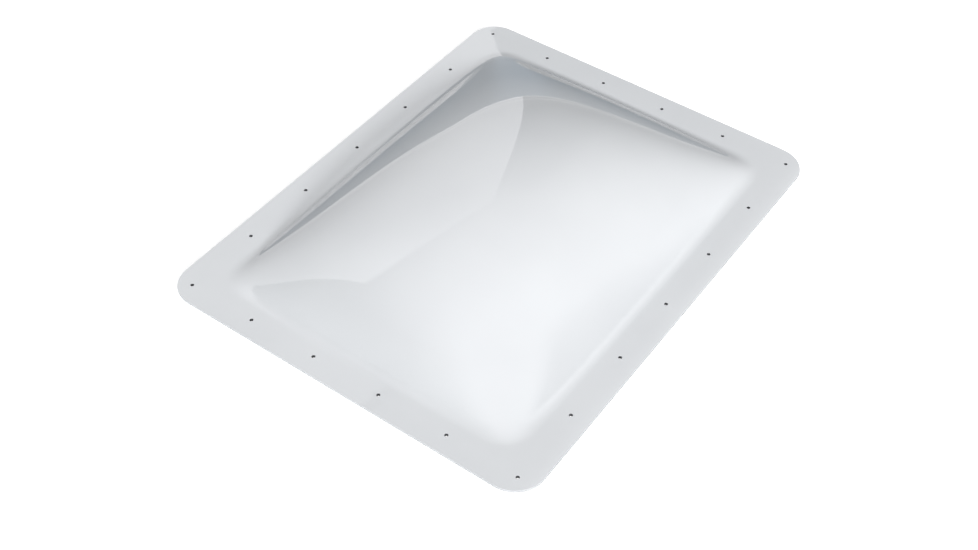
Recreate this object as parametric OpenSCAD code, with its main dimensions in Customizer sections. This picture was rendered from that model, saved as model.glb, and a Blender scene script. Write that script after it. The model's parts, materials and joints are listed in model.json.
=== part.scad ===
// Skylight dome for a caravan or motorhome roof: one blown plastic sheet with a long, low bubble
// and a flat flange, screwed down all round over four strips of closed-cell foam seal.
// Millimetres. +X runs along the long side and +Z points up, away from the roof. The origin is in
// the middle of the sheet, on the roof skin, which is the plane that the seal strips lie on.

/* [Sheet] */
// Length of the sheet over the flange, along X
sheet_length = 900; // [880:5:1000]
// Width of the sheet over the flange, along Y
sheet_width = 700; // [680:5:800]
// Radius of the sheet's outer corners
sheet_corner_r = 52; // [40:1:60]
// Thickness of the sheet, measured straight down
sheet_t = 3; // [2:0.5:6]

/* [Bubble] */
// Height of the bubble's crown above the flange's top face
bubble_rise = 100; // [40:1:140]
// Length of the bubble at its foot, along X
bubble_length = 768; // [700:2:768]
// Width of the bubble at its foot, along Y
bubble_width = 569; // [500:1:569]
// Extra fullness of the shoulders over a plain soap-film shape
shoulder_fullness = 0.38; // [0:0.01:0.5]
// How far the soap-film shape runs on past the foot
corner_ease = 4.6; // [3:0.1:7]
// Half the width of the soft bend in the flange round the foot
foot_bend = 12; // [5:0.5:12]
// Radius of the foot's corners
foot_corner_r = 50; // [30:1:60]
// Height of the steep riser just inside the foot, and how far in it runs
riser_height = 3; // [0:0.5:8]
riser_run = 11.5; // [6:0.5:20]

/* [Screw holes] */
// Distance from the sheet's edge to the line of screw holes
hole_inset = 32; // [30:1:34]
// Diameter of the screw holes
hole_d = 6; // [4:0.5:8]
// Gaps between the holes along a long side
gaps_long = 6; // [2:1:10]
// Gaps between the holes along a short side
gaps_short = 5; // [2:1:8]

/* [Seal] */
// Width of a seal strip, which is centred on the line of screw holes
seal_w = 30; // [20:1:32]
// Thickness of a seal strip when the screws are tight
seal_t = 3; // [2:0.5:6]

/* [Hidden] */
$fn = 48;

// Hole line, as half lengths from the middle
hole_x = sheet_length / 2 - hole_inset;
hole_y = sheet_width / 2 - hole_inset;

// The soap-film shape covers this rectangle, a little longer and wider than the foot
film_x = bubble_length / 2 + corner_ease;
film_y = bubble_width / 2 + corner_ease;
// The soap film's series is summed over odd terms up to this one
last_film_term = 13;

// The flange is flat outside this line
bend_x = film_x + foot_bend;
bend_y = film_y + foot_bend;

// Rings of points run from the bend line in to the crown, close together near the foot
ring_count = 20;
ring_closeness = 1.7;
crown_ring = 0.04;
// Each ring is a rectangle with rounded corners, and the inner rings are rounder
foot_roundness = 0.14;
crown_roundness = 0.9;
// Steps along a corner, a long side and a short side of each ring
corner_steps = 8;
long_steps = 16;
short_steps = 12;

// Height of an evenly blown soap film over the film rectangle, not yet scaled
function cosh_ratio(rate, x, edge) =
    exp(rate * (abs(x) - edge)) * (1 + exp(-2 * rate * abs(x))) / (1 + exp(-2 * rate * edge));
function film_term(k, x, y) =
    (k % 4 == 1 ? 1 : -1) / pow(k, 3) * cosh_ratio(k * PI / 2 / film_y, x, film_x)
    * cos(90 * k * y / film_y);
function film_sum(x, y, k = 1) =
    k > last_film_term ? 0 : film_term(k, x, y) + film_sum(x, y, k + 2);
function film(x, y) =
    (pow(film_y, 2) - pow(y, 2)) / 2 - 16 * pow(film_y, 2) / pow(PI, 3) * film_sum(x, y);

// Turns a kink at zero into a bend that is 2 * reach wide
function ease(v, reach) =
    v <= -reach ? 0 : v >= reach ? v : pow(v + reach, 2) / (4 * reach);

// The film's height at the middle of a long side of the foot is where the bubble starts to rise
film_crown = film(0, 0);
foot_level = film(0, bubble_width / 2) / film_crown;
function fullness(m) = m * (1 + shoulder_fullness * (1 - m));
film_rise = bubble_rise - riser_height;
foot_reach = -film_rise * fullness(-foot_level / (1 - foot_level));

// Distance in from the foot, a rectangle with rounded corners, at a point in plan
function depth(x, y) =
    let (past_x = abs(x) - bubble_length / 2 + foot_corner_r,
         past_y = abs(y) - bubble_width / 2 + foot_corner_r)
    foot_corner_r - norm([max(past_x, 0), max(past_y, 0)]) - min(max(past_x, past_y), 0);
function riser(x, y) = riser_height * (1 - exp(-ease(depth(x, y), foot_bend) / riser_run));

// Height of the bubble's top face above the flange's top face at a point in plan
function rise(x, y) =
    let (film_here = film(film_x - ease(film_x - abs(x), foot_bend),
                          film_y - ease(film_y - abs(y), foot_bend)) / film_crown,
         level = (film_here - foot_level) / (1 - foot_level))
    ease(film_rise * fullness(level), foot_reach) + riser(x, y);

// A rectangle of half size hx by hy whose corners are arcs of rx by ry, counterclockwise
function ring_points(hx, hy, rx, ry) =
    let (cx = hx - rx, cy = hy - ry, turn = 90 / corner_steps)
    [for (q = [0:3])
        let (sx = q == 0 || q == 3 ? 1 : -1,
             sy = q < 2 ? 1 : -1,
             side_steps = q % 2 == 0 ? long_steps : short_steps)
        each concat(
            [for (i = [0:corner_steps])
                [sx * cx + rx * cos(90 * q + i * turn), sy * cy + ry * sin(90 * q + i * turn)]],
            [for (i = [1:side_steps - 1])
                let (f = i / side_steps)
                q % 2 == 0
                    ? [sx * cx * (1 - 2 * f), sy * hy]
                    : [sx * hx, sy * cy * (1 - 2 * f)]]
        )];

function ring_scale(i) = 1 - (1 - crown_ring) * pow(i / ring_count, ring_closeness);
function ring_roundness(s) = crown_roundness + (foot_roundness - crown_roundness) * pow(s, 3);
function bubble_ring(s) =
    let (hx = bend_x * s, hy = bend_y * s, roundness = ring_roundness(s))
    ring_points(hx, hy, hx * roundness, hy * roundness);

// The blown sheet without its screw holes: top and bottom rings, and one crown point on each face
module blown_sheet() {
    rings = concat(
        [ring_points(sheet_length / 2, sheet_width / 2, sheet_corner_r, sheet_corner_r)],
        [for (i = [0:ring_count]) bubble_ring(ring_scale(i))]
    );
    n = len(rings[0]);
    last = len(rings) - 1;
    plan = concat([for (r = rings) each r], [[0, 0]]);
    top = [for (p = plan) [p.x, p.y, seal_t + sheet_t + rise(p.x, p.y)]];
    bottom = [for (p = top) [p.x, p.y, p.z - sheet_t]];
    under = len(plan);
    function skin(base, flip) = concat(
        [for (r = [0:last - 1], j = [0:n - 1])
            let (o = base + r * n, k = (j + 1) % n)
            each flip
                ? [[o + j, o + n + k, o + n + j], [o + j, o + k, o + n + k]]
                : [[o + j, o + n + j, o + n + k], [o + j, o + n + k, o + k]]],
        [for (j = [0:n - 1])
            let (o = base + last * n, k = (j + 1) % n, crown = base + under - 1)
            flip ? [o + j, o + k, crown] : [o + j, crown, o + k]]
    );
    edge = [for (j = [0:n - 1])
        let (k = (j + 1) % n)
        each [[j, k, under + k], [j, under + k, under + j]]];
    polyhedron(concat(top, bottom), concat(skin(0, false), skin(under, true), edge));
}

// Screw holes on the whole rectangle, from below the seal to above the flange
module screw_holes() {
    depth = seal_t + sheet_t + 2;
    for (x = [0:gaps_long], side = [-1, 1])
        translate([hole_x * (2 * x / gaps_long - 1), side * hole_y, -1])
            cylinder(d = hole_d, h = depth);
    for (y = [1:gaps_short - 1], side = [-1, 1])
        translate([side * hole_x, hole_y * (2 * y / gaps_short - 1), -1])
            cylinder(d = hole_d, h = depth);
}

module outer_dome() {
    color("whitesmoke")
        difference() {
            blown_sheet();
            screw_holes();
        }
}

// A strip of seal centred on a point in plan, punched in line with the screw holes
module seal_strip(x, y, length, width) {
    color("dimgray")
        difference() {
            translate([x - length / 2, y - width / 2, 0]) cube([length, width, seal_t]);
            screw_holes();
        }
}

// The front and rear strips run the full length, and the side strips butt up between them
module seal_front() {
    seal_strip(0, -hole_y, 2 * hole_x + seal_w, seal_w);
}

module seal_rear() {
    seal_strip(0, hole_y, 2 * hole_x + seal_w, seal_w);
}

module seal_left() {
    seal_strip(-hole_x, 0, seal_w, 2 * hole_y - seal_w);
}

module seal_right() {
    seal_strip(hole_x, 0, seal_w, 2 * hole_y - seal_w);
}

outer_dome();
seal_front();
seal_rear();
seal_left();
seal_right();
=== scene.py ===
"""Looks of the roof skylight dome: one blown sheet of opal plastic on four strips of foam seal."""

import json
import math

import bpy
import numpy as np
from mathutils import Matrix, Vector
from mathutils.geometry import delaunay_2d_cdt


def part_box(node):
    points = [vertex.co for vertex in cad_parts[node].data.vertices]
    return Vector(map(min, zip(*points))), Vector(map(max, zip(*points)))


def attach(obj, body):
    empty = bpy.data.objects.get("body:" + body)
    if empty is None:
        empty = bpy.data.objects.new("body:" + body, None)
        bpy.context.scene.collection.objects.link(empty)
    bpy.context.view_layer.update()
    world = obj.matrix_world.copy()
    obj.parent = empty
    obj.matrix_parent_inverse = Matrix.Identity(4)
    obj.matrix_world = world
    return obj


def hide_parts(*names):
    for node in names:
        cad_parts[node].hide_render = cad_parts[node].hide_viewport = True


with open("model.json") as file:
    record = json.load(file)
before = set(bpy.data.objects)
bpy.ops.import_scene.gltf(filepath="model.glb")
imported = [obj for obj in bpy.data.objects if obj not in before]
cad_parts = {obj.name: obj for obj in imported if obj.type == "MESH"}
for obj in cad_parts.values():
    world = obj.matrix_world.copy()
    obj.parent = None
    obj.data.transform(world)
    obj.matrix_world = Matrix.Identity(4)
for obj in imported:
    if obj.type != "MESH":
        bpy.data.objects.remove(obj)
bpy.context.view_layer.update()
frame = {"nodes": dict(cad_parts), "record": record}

MM = 0.001

# ---------------------------------------------------------------- sizes, from the frame
HALF_X, HALF_Y, CROWN_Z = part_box("outer_dome")[1]
SEAL_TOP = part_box("seal_front")[1][2]
SHEET_T = 3 * MM
FLANGE_Z = SEAL_TOP + SHEET_T
RISE = CROWN_Z - FLANGE_Z

# The shape of the sheet, as in the CAD
CORNER_R = 52 * MM
FOOT_X, FOOT_Y = 384 * MM, 284.5 * MM
SHOULDER_FULLNESS = 0.38
CORNER_EASE = 4.6 * MM
FOOT_BEND = 12 * MM
FOOT_CORNER_R = 50 * MM
RISER_HEIGHT, RISER_RUN = 3 * MM, 11.5 * MM
FILM_X, FILM_Y = FOOT_X + CORNER_EASE, FOOT_Y + CORNER_EASE
LAST_FILM_TERM = 13
BEND_X, BEND_Y = FILM_X + FOOT_BEND, FILM_Y + FOOT_BEND
FOOT_ROUNDNESS, CROWN_ROUNDNESS = 0.14, 0.9

# Rounded arrises, which the CAD leaves sharp
EDGE_R = 0.9 * MM
HOLE_EDGE_R = 0.45 * MM
ARRIS_STEPS = 4

# How the flange droops and waves after it is trimmed
FRONT_DROOP, FRONT_DROOP_RUN = 0.9 * MM, 20 * MM
TIP_DROOP, TIP_DROOP_RUN = 1.0 * MM, 75 * MM
WAVE = 0.10 * MM
WAVE_RUN_IN = 25 * MM

# Steps round a ring, and rings from the flange's bend to the crown
CORNER_STEPS, LONG_STEPS, SHORT_STEPS = 26, 84, 62
BUBBLE_RINGS = 90
RING_CLOSENESS = 1.7
CROWN_RING = 0.012
HOLE_STEPS = 36
# Where loops of points cross the flange, and how clear of the holes they stay, in hole radii
FLANGE_SHARES = (0.08, 0.25, 0.45, 0.65, 0.85)
HOLE_CLEARANCE = 1.6

# Places of the two materials on the sheet
SKIN_MARK, SHADED_WALL_MARK = 0, 1


# ---------------------------------------------------------------- the sheet's height
def film(x, y):
    """Height of an evenly blown soap film over the film rectangle, not yet scaled."""
    total = (FILM_Y**2 - y**2) / 2
    for k in range(1, LAST_FILM_TERM + 1, 2):
        rate = k * math.pi / 2 / FILM_Y
        run = np.exp(rate * (np.abs(x) - FILM_X))
        run = run * (1 + np.exp(-2 * rate * np.abs(x))) / (1 + math.exp(-2 * rate * FILM_X))
        sign = 1 if k % 4 == 1 else -1
        total = total - 16 * FILM_Y**2 / math.pi**3 * sign / k**3 * run * np.cos(rate * y)
    return total


def ease(v, reach):
    """Turns a kink at zero into a bend that is 2 * reach wide."""
    return np.where(v <= -reach, 0.0, np.where(v >= reach, v, (v + reach) ** 2 / (4 * reach)))


FILM_CROWN = film(np.array(0.0), np.array(0.0))
FOOT_LEVEL = film(np.array(0.0), np.array(FOOT_Y)) / FILM_CROWN


def fuller(level):
    return level * (1 + SHOULDER_FULLNESS * (1 - level))


FILM_RISE = RISE - RISER_HEIGHT
FOOT_REACH = -FILM_RISE * fuller(-FOOT_LEVEL / (1 - FOOT_LEVEL))


def depth(x, y):
    """Distance in from the foot, which is a rectangle with rounded corners."""
    past_x = np.abs(x) - FOOT_X + FOOT_CORNER_R
    past_y = np.abs(y) - FOOT_Y + FOOT_CORNER_R
    round_corner = np.hypot(np.maximum(past_x, 0), np.maximum(past_y, 0))
    return FOOT_CORNER_R - round_corner - np.minimum(np.maximum(past_x, past_y), 0)


def riser(x, y):
    return RISER_HEIGHT * (1 - np.exp(-ease(depth(x, y), FOOT_BEND) / RISER_RUN))


def rise(x, y):
    """Height of the bubble's top face above the flange's top face."""
    eased_x = FILM_X - ease(FILM_X - np.abs(x), FOOT_BEND)
    eased_y = FILM_Y - ease(FILM_Y - np.abs(y), FOOT_BEND)
    level = (film(eased_x, eased_y) / FILM_CROWN - FOOT_LEVEL) / (1 - FOOT_LEVEL)
    return ease(FILM_RISE * fuller(level), FOOT_REACH) + riser(x, y)


def settle(x, y):
    """What a real flange does: it droops at the front edge and at one tip, and waves a little."""
    front = np.clip(1 - (y + HALF_Y) / FRONT_DROOP_RUN, 0, 1) ** 2 * FRONT_DROOP
    past_tip = x - y - (HALF_X + HALF_Y) + TIP_DROOP_RUN
    tip = np.clip(past_tip / TIP_DROOP_RUN, 0, 1) ** 2 * TIP_DROOP
    out = np.maximum(np.abs(x) - BEND_X, np.abs(y) - BEND_Y)
    on_flange = np.clip(out / WAVE_RUN_IN, 0, 1)
    wave = WAVE * np.sin(x * 17.0 + 1.3) * np.cos(y * 13.0 - 0.4) - WAVE
    return -front - tip + wave * on_flange**2


def top_height(x, y):
    return FLANGE_Z + rise(x, y) + settle(x, y)


def top_normal(x, y):
    e = 0.2 * MM
    gx = (top_height(x + e, y) - top_height(x - e, y)) / (2 * e)
    gy = (top_height(x, y + e) - top_height(x, y - e)) / (2 * e)
    n = np.stack([-gx, -gy, np.ones_like(gx)], axis=-1)
    return n / np.linalg.norm(n, axis=-1, keepdims=True)


# ---------------------------------------------------------------- rings and loops in plan
def ring_points(hx, hy, rx, ry):
    """A rectangle with rounded corners, counterclockwise, as an array of points."""
    cx, cy = hx - rx, hy - ry
    points = []
    for q in range(4):
        sx = 1 if q in (0, 3) else -1
        sy = 1 if q < 2 else -1
        for i in range(CORNER_STEPS + 1):
            a = math.radians(90 * q + 90 * i / CORNER_STEPS)
            points.append((sx * cx + rx * math.cos(a), sy * cy + ry * math.sin(a)))
        steps = LONG_STEPS if q % 2 == 0 else SHORT_STEPS
        for i in range(1, steps):
            run = 1 - 2 * i / steps
            points.append((sx * cx * run, sy * hy) if q % 2 == 0 else (sx * hx, sy * cy * run))
    return np.array(points)


def sheet_ring(inset):
    return ring_points(HALF_X - inset, HALF_Y - inset, CORNER_R - inset, CORNER_R - inset)


def bubble_ring(scale):
    roundness = CROWN_ROUNDNESS + (FOOT_ROUNDNESS - CROWN_ROUNDNESS) * scale**3
    hx, hy = BEND_X * scale, BEND_Y * scale
    return ring_points(hx, hy, hx * roundness, hy * roundness)


def ring_normals(ring):
    """Outward unit normals of a closed counterclockwise loop, in plan."""
    along = np.roll(ring, -1, axis=0) - np.roll(ring, 1, axis=0)
    out = np.stack([along[:, 1], -along[:, 0]], axis=-1)
    return out / np.linalg.norm(out, axis=-1, keepdims=True)


def hole_centres():
    """Centres of the screw holes, from the record's bolt patterns, and their radius."""
    centres = []
    for mount in frame["record"]["mounts"]:
        if mount["kind"] != "bolt_pattern":
            continue
        dims = mount["dims"]
        x, y = dims.get("spacing_x_mm", 0) / 2 * MM, dims.get("spacing_y_mm", 0) / 2 * MM
        radius = dims["hole_r_mm"] * MM
        centres += sorted({(sx * x, sy * y) for sx in (-1, 1) for sy in (-1, 1)})
    return centres, radius


def circle(centre, radius):
    turn = np.arange(HOLE_STEPS) * 2 * math.pi / HOLE_STEPS
    return np.stack([centre[0] + radius * np.cos(turn), centre[1] + radius * np.sin(turn)], axis=-1)


# ---------------------------------------------------------------- the sheet's mesh
class Skin:
    """Collects points, normals and faces of one closed surface, and joins them by place."""

    def __init__(self):
        self.points, self.normals, self.faces, self.marks, self.index = [], [], [], [], {}

    def add(self, points, normals):
        ids = []
        for p, n in zip(points, normals):
            key = tuple(np.round(np.asarray(p) * 1e7).astype(int))
            if key not in self.index:
                self.index[key] = len(self.points)
                self.points.append(tuple(p))
                self.normals.append(tuple(n))
            ids.append(self.index[key])
        return ids

    def face(self, ids, mark=SKIN_MARK):
        if len(set(ids)) == len(ids):
            self.faces.append(ids)
            self.marks.append(mark)

    def band(self, a, b, mark=SKIN_MARK):
        """Joins two closed loops of the same length; the faces look outward if a is above b."""
        n = len(a)
        for j in range(n):
            k = (j + 1) % n
            self.face([a[j], b[j], b[k], a[k]], mark)

    def mesh(self, name):
        mesh = bpy.data.meshes.new(name)
        mesh.from_pydata(self.points, [], self.faces)
        mesh.polygons.foreach_set("material_index", self.marks)
        mesh.polygons.foreach_set("use_smooth", [True] * len(self.faces))
        mesh.validate()
        mesh.update()
        mesh.normals_split_custom_set_from_vertices(self.normals)
        return mesh


def lay(skin, ring, top):
    """A loop of points on the sheet's top or bottom face."""
    x, y = ring[:, 0], ring[:, 1]
    z, n = top_height(x, y), top_normal(x, y)
    if not top:
        z, n = z - SHEET_T, -n
    return skin.add(np.stack([x, y, z], axis=-1), n)


def point_in(loop, p):
    """Whether a point lies inside a closed loop."""
    x, y = loop[:, 0], loop[:, 1]
    x2, y2 = np.roll(x, -1), np.roll(y, -1)
    crosses = (y > p[1]) != (y2 > p[1])
    with np.errstate(divide="ignore", invalid="ignore"):
        at = (x2 - x) * (p[1] - y) / (y2 - y) + x
    return bool(np.sum(crosses & (p[0] < at)) % 2)


def flange_triangles(outer, inner, holes):
    """Triangles of the flange in plan, between the outer and inner loops and round the holes."""
    verts, edges = [], []
    for loop in [outer, inner] + holes:
        start = len(verts)
        verts += [Vector(p) for p in loop]
        edges += [(start + j, start + (j + 1) % len(loop)) for j in range(len(loop))]
    centres = np.array([h.mean(axis=0) for h in holes])
    hole_r = np.linalg.norm(holes[0][0] - centres[0])

    def from_hole(p):
        return np.min(np.linalg.norm(centres - p, axis=1))

    for share in FLANGE_SHARES:
        for p in (outer + (inner - outer) * share)[::3]:
            if from_hole(p) > hole_r * HOLE_CLEARANCE:
                verts.append(Vector(p))
    out_verts, _, out_faces, *_ = delaunay_2d_cdt(verts, edges, [], 0, 1e-9)
    points = np.array([(v.x, v.y) for v in out_verts])
    faces = []
    for face in out_faces:
        middle = points[list(face)].mean(axis=0)
        in_hole = from_hole(middle) < hole_r * 0.98
        if point_in(outer, middle) and not point_in(inner, middle) and not in_hole:
            faces.append(list(face))
    return points, faces


def rounded_arris(skin, ring, out, z_flat, radius, down, step_out):
    """Loops round a quarter arris from a flat face to an upright wall.

    step_out is +1 where the wall is outside the flat face, and -1 at a hole, where the wall is
    inside the loop. down is +1 for an arris on the top face and -1 for one on the bottom face.
    """
    loops = []
    for i in range(1, ARRIS_STEPS + 1):
        a = math.pi / 2 * i / ARRIS_STEPS
        sideways = out * step_out * math.sin(a)
        upward = np.full(len(ring), down * math.cos(a))
        z = z_flat - down * radius * (1 - math.cos(a))
        points = np.column_stack([ring + sideways * radius, z])
        loops.append(skin.add(points, np.column_stack([sideways, upward])))
    return loops


def wall_loops(skin, ring, radius, step_out):
    """Loops from the top face down a wall with rounded arrises to the bottom face."""
    out = ring_normals(ring)
    z = top_height(ring[:, 0], ring[:, 1])
    upper = rounded_arris(skin, ring, out, z, radius, 1, step_out)
    lower = rounded_arris(skin, ring, out, z - SHEET_T, radius, -1, step_out)
    return [lay(skin, ring, True)] + upper + lower[::-1] + [lay(skin, ring, False)]


def build_sheet():
    """The whole sheet: flange, bubble, trimmed edge and drilled holes."""
    skin = Skin()
    centres, hole_r = hole_centres()
    outer = sheet_ring(EDGE_R)
    inner = bubble_ring(1.0)
    holes = [circle(c, hole_r + HOLE_EDGE_R) for c in centres]
    points, triangles = flange_triangles(outer, inner, holes)
    steps_in = np.linspace(0, 1, BUBBLE_RINGS + 1)
    scales = 1 - (1 - CROWN_RING) * steps_in**RING_CLOSENESS
    for top in (True, False):
        ids = lay(skin, points, top)
        for face in triangles:
            a, b, c = (points[i] for i in face)
            up = (b[0] - a[0]) * (c[1] - a[1]) - (b[1] - a[1]) * (c[0] - a[0]) > 0
            corners = [ids[i] for i in face]
            skin.face(corners if up == top else corners[::-1])
        rings = [lay(skin, bubble_ring(s), top) for s in scales]
        for outside, inside in zip(rings, rings[1:]):
            skin.band(inside, outside) if top else skin.band(outside, inside)
        crown = lay(skin, np.zeros((1, 2)), top)[0]
        last = rings[-1]
        for j in range(len(last)):
            k = (j + 1) % len(last)
            skin.face([last[j], last[k], crown] if top else [last[k], last[j], crown])

    # The trimmed edge
    loops = wall_loops(skin, outer, EDGE_R, 1)
    for a, b in zip(loops, loops[1:]):
        skin.band(a, b)

    # The drilled holes, whose straight walls have a material of their own, painted dark as the
    # shade inside the holes
    for ring in holes:
        loops = wall_loops(skin, ring, HOLE_EDGE_R, -1)
        for i, (a, b) in enumerate(zip(loops, loops[1:])):
            skin.band(b, a, SHADED_WALL_MARK if i == ARRIS_STEPS else SKIN_MARK)

    piece = bpy.data.objects.new("dome_sheet", skin.mesh("dome_sheet"))
    bpy.context.collection.objects.link(piece)
    return piece


# ---------------------------------------------------------------- materials
# Darker and lighter tone of each material, in linear colour
THICK_OPAL = ((0.546, 0.562, 0.581), (0.572, 0.589, 0.606))
# The lighter opal tone is painted glow of light shining through the bubble's thinner sheet
GLOW_LIT_OPAL = ((0.598, 0.614, 0.634), (0.624, 0.641, 0.658))
# The hole walls' tones are painted shade: near-black for the shade deep inside the holes
SHADED_HOLE_TONES = ((0.05, 0.052, 0.055), (0.12, 0.122, 0.126))
FOAM_TONES = ((0.045, 0.047, 0.05), (0.085, 0.088, 0.092))
PAPER_TONES = ((0.97, 0.97, 0.97), (0.99, 0.99, 0.99))

# Painted glow: the bubble's colour is painted lighter from this height up to the crown, for the
# light that shines through its thinner sheet
GLOW_START = 45 * MM

# Noise from 0 to 1 lies mostly within this range
USUAL_NOISE = (0.3, 0.7)


def new_material(name):
    material = bpy.data.materials.new(name)
    material.use_nodes = True
    nodes, links = material.node_tree.nodes, material.node_tree.links
    return material, nodes, links, nodes["Principled BSDF"]


def own_place(nodes):
    """A point's place in the object's own coordinates, in metres."""
    return nodes.new("ShaderNodeTexCoord").outputs["Object"]


def noise(nodes, links, scale, detail, stretch=(1, 1, 1)):
    mapping = nodes.new("ShaderNodeMapping")
    mapping.inputs["Scale"].default_value = stretch
    texture = nodes.new("ShaderNodeTexNoise")
    texture.inputs["Scale"].default_value = scale
    texture.inputs["Detail"].default_value = detail
    links.new(own_place(nodes), mapping.inputs["Vector"])
    links.new(mapping.outputs["Vector"], texture.inputs["Vector"])
    return texture.outputs["Fac"]


def two_tone(nodes, links, value, tones):
    """A colour between two tones, over the range that noise usually has."""
    node = nodes.new("ShaderNodeValToRGB")
    for element, at, tone in zip(node.color_ramp.elements, USUAL_NOISE, tones):
        element.position = at
        element.color = (*tone, 1)
    links.new(value, node.inputs["Fac"])
    return node.outputs["Color"]


def spread(nodes, links, value, low_out, high_out, low_in=USUAL_NOISE[0], high_in=USUAL_NOISE[1]):
    """Maps a value's range to a new one."""
    node = nodes.new("ShaderNodeMapRange")
    node.inputs["From Min"].default_value = low_in
    node.inputs["From Max"].default_value = high_in
    node.inputs["To Min"].default_value = low_out
    node.inputs["To Max"].default_value = high_out
    links.new(value, node.inputs["Value"])
    return node.outputs["Result"]


def bump(nodes, links, height, distance, below=None):
    node = nodes.new("ShaderNodeBump")
    node.inputs["Distance"].default_value = distance
    links.new(height, node.inputs["Height"])
    if below is not None:
        links.new(below, node.inputs["Normal"])
    return node.outputs["Normal"]


def opal_plastic():
    """Glossy opal sheet: cloudy colour, a faint haze, and the slow ripple of a blown surface."""
    material, nodes, links, shader = new_material("opal_plastic")
    cloud = noise(nodes, links, 5.0, 2.0)
    split = nodes.new("ShaderNodeSeparateXYZ")
    links.new(own_place(nodes), split.inputs[0])
    # Painted glow: the colour is blended to the lighter tone towards the crown, for light shining
    # through the sheet
    blend = nodes.new("ShaderNodeMix")
    blend.data_type = "RGBA"
    glow_share = spread(nodes, links, split.outputs["Z"], 0.0, 1.0, GLOW_START, CROWN_Z)
    links.new(glow_share, blend.inputs["Factor"])
    links.new(two_tone(nodes, links, cloud, THICK_OPAL), blend.inputs["A"])
    links.new(two_tone(nodes, links, cloud, GLOW_LIT_OPAL), blend.inputs["B"])
    links.new(blend.outputs["Result"], shader.inputs["Base Color"])
    haze = noise(nodes, links, 14.0, 4.0)
    links.new(spread(nodes, links, haze, 0.012, 0.03), shader.inputs["Roughness"])
    ripple = bump(nodes, links, noise(nodes, links, 11.0, 1.0), 0.08 * MM)
    peel = bump(nodes, links, noise(nodes, links, 260.0, 2.0), 0.0015 * MM, below=ripple)
    links.new(peel, shader.inputs["Normal"])
    shader.inputs["IOR"].default_value = 1.5
    return material


def shaded_hole_wall():
    """The cut wall of a screw hole: rough, dark grey as painted shade deep inside the hole, with
    the rings a drill leaves.
    """
    material, nodes, links, shader = new_material("shaded_hole_wall")
    rings = noise(nodes, links, 900.0, 2.0, stretch=(0.1, 0.1, 1.0))
    links.new(two_tone(nodes, links, rings, SHADED_HOLE_TONES), shader.inputs["Base Color"])
    links.new(spread(nodes, links, rings, 0.45, 0.65), shader.inputs["Roughness"])
    links.new(bump(nodes, links, rings, 0.05 * MM), shader.inputs["Normal"])
    return material


def seal_foam():
    """Matt closed-cell foam: fine open cells where it was slit, and a faint mottle."""
    material, nodes, links, shader = new_material("seal_foam")
    mottle = noise(nodes, links, 60.0, 5.0)
    links.new(two_tone(nodes, links, mottle, FOAM_TONES), shader.inputs["Base Color"])
    links.new(spread(nodes, links, mottle, 0.8, 0.95), shader.inputs["Roughness"])
    cells = nodes.new("ShaderNodeTexVoronoi")
    cells.inputs["Scale"].default_value = 1400.0
    links.new(own_place(nodes), cells.inputs["Vector"])
    links.new(bump(nodes, links, cells.outputs["Distance"], 0.25 * MM), shader.inputs["Normal"])
    return material


def pale_floor():
    """White paper that glows a little, so that it stays white under the object's soft light."""
    material, nodes, links, shader = new_material("pale_floor")
    tone = noise(nodes, links, 1.5, 2.0)
    links.new(two_tone(nodes, links, tone, PAPER_TONES), shader.inputs["Base Color"])
    shader.inputs["Roughness"].default_value = 0.9
    shader.inputs["Emission Color"].default_value = (1.0, 1.0, 1.0, 1.0)
    shader.inputs["Emission Strength"].default_value = 0.22
    return material


# ---------------------------------------------------------------- camera, floor and light
def add_camera():
    """The photograph's viewpoint, worked out from the grid of screw holes."""
    place = Vector((-1.4135, -0.9377, 1.6475))
    target = Vector((-0.1118, -0.0498, 0.0))
    roll = math.radians(1.584)
    forward = (target - place).normalized()
    level = forward.cross(Vector((0, 0, 1))).normalized()
    upright = level.cross(forward)
    right = level * math.cos(roll) + upright * math.sin(roll)
    up = upright * math.cos(roll) - level * math.sin(roll)
    data = bpy.data.cameras.new("camera")
    data.lens = 51.385
    data.sensor_width = 36.0
    camera = bpy.data.objects.new("camera", data)
    turn = Matrix((right, up, -forward)).transposed().to_4x4()
    camera.matrix_world = Matrix.Translation(place) @ turn
    bpy.context.collection.objects.link(camera)
    bpy.context.scene.camera = camera


def add_floor():
    """A wide white floor, just under the seal strips."""
    half, under = 40.0, -0.1 * MM
    mesh = bpy.data.meshes.new("floor")
    corners = [(x * half, y * half, under) for x, y in ((-1, -1), (1, -1), (1, 1), (-1, 1))]
    mesh.from_pydata(corners, [], [(0, 1, 2, 3)])
    mesh.materials.append(pale_floor())
    floor = bpy.data.objects.new("floor", mesh)
    bpy.context.collection.objects.link(floor)
    floor.visible_glossy = False


def add_sun(name, towards, energy, width):
    """A far, soft light: towards is the way to it, and width is the angle it fills, in degrees."""
    data = bpy.data.lights.new(name, "SUN")
    data.angle = math.radians(width)
    data.energy = energy
    light = bpy.data.objects.new(name, data)
    light.rotation_euler = Vector(towards).to_track_quat("Z", "Y").to_euler()
    bpy.context.collection.objects.link(light)
    light.visible_glossy = False


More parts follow.
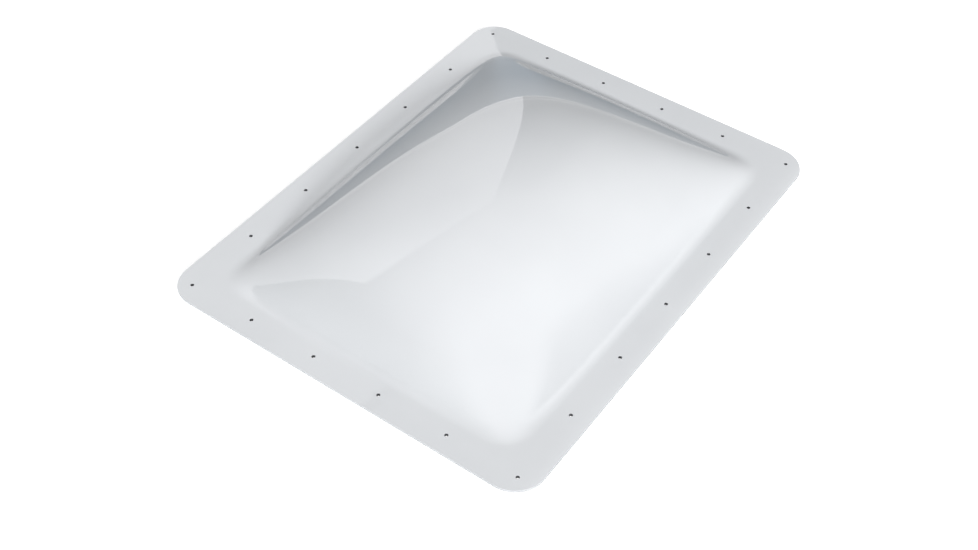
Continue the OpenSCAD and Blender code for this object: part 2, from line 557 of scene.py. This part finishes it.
class Sums:
    """Small helper for arithmetic in the world's node tree."""

    def __init__(self, tree):
        self.nodes, self.links = tree.nodes, tree.links
        self.ray = self.nodes.new("ShaderNodeTexCoord").outputs["Generated"]

    def put(self, value, socket):
        """Gives a socket a plain number, or joins another node's output to it."""
        if isinstance(value, (int, float)):
            socket.default_value = value
        else:
            self.links.new(value, socket)

    def do(self, operation, *values):
        node = self.nodes.new("ShaderNodeMath")
        node.operation = operation
        for value, socket in zip(values, node.inputs):
            self.put(value, socket)
        return node.outputs[0]

    def plus(self, a, b):
        return self.do("ADD", a, b)

    def minus(self, a, b):
        return self.do("SUBTRACT", a, b)

    def times(self, a, b):
        return self.do("MULTIPLY", a, b)

    def degrees(self, angle):
        return self.times(angle, 180 / math.pi)

    def mix(self, share, a, b):
        """a where share is 0 and b where it is 1."""
        return self.plus(self.times(self.minus(1.0, share), a), self.times(share, b))

    def step(self, value, start, end):
        """Goes smoothly from 0 to 1 as value goes from start to end."""
        node = self.nodes.new("ShaderNodeMapRange")
        node.interpolation_type = "SMOOTHSTEP"
        node.inputs["From Min"].default_value = start
        node.inputs["From Max"].default_value = end
        self.links.new(value, node.inputs["Value"])
        return node.outputs["Result"]

    def drop(self, value, start, end):
        """Goes smoothly from 1 to 0 as value goes from start to end."""
        return self.minus(1.0, self.step(value, start, end))

    def window(self, value, start, full, fade, end):
        """1 where value is between full and fade, and 0 before start and after end."""
        return self.times(self.step(value, start, full), self.drop(value, fade, end))

    def toward(self, vector):
        """How far a ray goes along a fixed vector."""
        node = self.nodes.new("ShaderNodeVectorMath")
        node.operation = "DOT_PRODUCT"
        node.inputs[1].default_value = vector
        self.links.new(self.ray, node.inputs[0])
        return node.outputs["Value"]

    def away(self, azimuth, elevation):
        """Angle in degrees between a ray and a fixed direction."""
        a, e = math.radians(azimuth), math.radians(elevation)
        direction = (math.cos(e) * math.cos(a), math.cos(e) * math.sin(a), math.sin(e))
        return self.degrees(self.do("ARCCOSINE", self.toward(direction)))


def skyline(s, azimuth):
    """Elevation of the room's dark base: low all round, with a hill beyond the far corner."""
    hill = s.times(s.step(azimuth, 9.0, 42.0), 12.0)
    fall = s.times(s.step(azimuth, 47.0, 62.0), 11.0)
    return s.minus(hill, fall)


def pale_board(s, azimuth, elevation):
    """A flat board that stands to the far left, with upright ends and a level top edge.

    Gives its place, which is 1 on the board and 0 off it, and its brightness.
    """
    facing, top_rise, edge = 79.0, 1.6, 0.12
    turned = s.do("COSINE", s.times(s.minus(azimuth, facing), math.pi / 180))
    top = s.degrees(s.do("ARCTANGENT", s.times(turned, top_rise)))
    over_top = s.minus(elevation, top)
    under_top = s.drop(over_top, -edge, edge)
    place = s.times(s.window(azimuth, 34.2, 34.4, 99.7, 100.3), under_top)

    # It is lighter towards its top and its right end, with a darker strip under the top edge
    glow = s.mix(s.step(elevation, 5.0, 45.0), 1.35, 2.25)
    glow = s.plus(glow, s.times(s.step(elevation, 40.0, 60.0), 1.13))
    glow = s.plus(glow, s.times(s.minus(azimuth, 65.0), -0.0049))
    glow = s.minus(glow, s.times(s.step(azimuth, 72.0, 98.0), 0.35))
    strip = s.times(under_top, s.step(over_top, -0.75, -0.6))
    return place, s.minus(glow, s.times(strip, 0.7))


def open_room(s, azimuth, elevation, height):
    """Brightness of the rest of the room; height is the angle above the skyline."""
    bright = s.plus(s.toward((-1.641, -1.466, 1.485)), 3.152)
    left_dark = s.step(s.away(116.5, 20.3), 19.0, 71.5)
    right_dark = s.step(s.away(41.9, 1.2), 9.6, 59.2)
    glow = s.times(bright, s.times(left_dark, right_dark))
    shade = s.times(s.window(azimuth, 17.0, 25.0, 34.2, 34.4), s.drop(elevation, 40.0, 49.0))
    glow = s.times(glow, s.mix(shade, 1.0, 0.76))
    haze = s.times(s.drop(height, 0.0, 9.0), 0.4)
    glow = s.do("MINIMUM", s.plus(glow, haze), 4.2)

    # The side that only other views mirror is dimmer
    front = s.window(azimuth, -58.0, -38.0, 150.0, 170.0)
    overhead = s.step(elevation, 35.0, 60.0)
    return s.times(glow, s.mix(s.do("MAXIMUM", front, overhead), 0.3, 1.0))


def studio_world():
    """The studio round the object, which differs by kind of ray.

    The gloss mirrors a pale room over a dark base. The suns give the diffuse light, so the world
    adds almost none from above, and some from below for views without the floor. The camera sees
    plain white.
    """
    world = bpy.data.worlds.new("studio")
    bpy.context.scene.world = world
    world.use_nodes = True
    tree = world.node_tree
    tree.nodes.clear()
    s = Sums(tree)
    split = tree.nodes.new("ShaderNodeSeparateXYZ")
    tree.links.new(s.ray, split.inputs[0])
    dx, dy, dz = split.outputs
    elevation = s.degrees(s.do("ARCSINE", dz))
    azimuth = s.degrees(s.do("ARCTAN2", dy, dx))

    # The room above the skyline, with two thin bright lines over its edge
    height = s.minus(elevation, skyline(s, azimuth))
    above = s.step(height, -0.1, 0.1)
    board, board_glow = pale_board(s, azimuth, elevation)
    room = s.mix(board, open_room(s, azimuth, elevation, height), board_glow)
    room = s.plus(room, s.times(s.drop(height, 0.6, 0.7), 0.55))
    room = s.plus(room, s.times(s.window(height, 1.9, 2.0, 2.5, 2.6), 0.45))

    # The dark base, a little lighter straight beyond the far corner
    from_corner = s.do("ABSOLUTE", s.minus(azimuth, 34.5))
    base = s.mix(s.drop(from_corner, 2.5, 9.0), 0.20, 0.40)

    # What each kind of ray sees
    gloss = s.mix(above, base, room)
    diffuse = s.mix(s.step(dz, -0.05, 0.0), 0.7, 0.02)
    path = tree.nodes.new("ShaderNodeLightPath")
    strength = s.mix(path.outputs["Is Glossy Ray"], diffuse, gloss)
    strength = s.mix(path.outputs["Is Camera Ray"], strength, 1.1)
    tint = tree.nodes.new("ShaderNodeMix")
    tint.data_type = "RGBA"
    tint.inputs["A"].default_value = (0.72, 1.0, 1.28, 1)
    tint.inputs["B"].default_value = (0.985, 0.98, 1.0, 1)
    s.put(s.do("MAXIMUM", above, path.outputs["Is Camera Ray"]), tint.inputs["Factor"])
    background = tree.nodes.new("ShaderNodeBackground")
    tree.links.new(tint.outputs["Result"], background.inputs["Color"])
    tree.links.new(strength, background.inputs["Strength"])
    output = tree.nodes.new("ShaderNodeOutputWorld")
    tree.links.new(background.outputs[0], output.inputs["Surface"])


# ---------------------------------------------------------------- put it together
add_camera()
sheet = build_sheet()
sheet.data.materials.append(opal_plastic())
sheet.data.materials.append(shaded_hole_wall())
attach(sheet, "root")
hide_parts("outer_dome")

foam = seal_foam()
for name in ("seal_front", "seal_rear", "seal_left", "seal_right"):
    strip = frame["nodes"][name]
    strip.data.materials.clear()
    strip.data.materials.append(foam)

add_floor()
add_sun("key", towards=(-0.157, -0.017, 0.420), energy=2.45, width=24.0)
add_sun("low_side", towards=(-0.482, -0.792, 0.375), energy=2.56, width=10.0)
studio_world()
bpy.context.scene.view_settings.view_transform = "Standard"
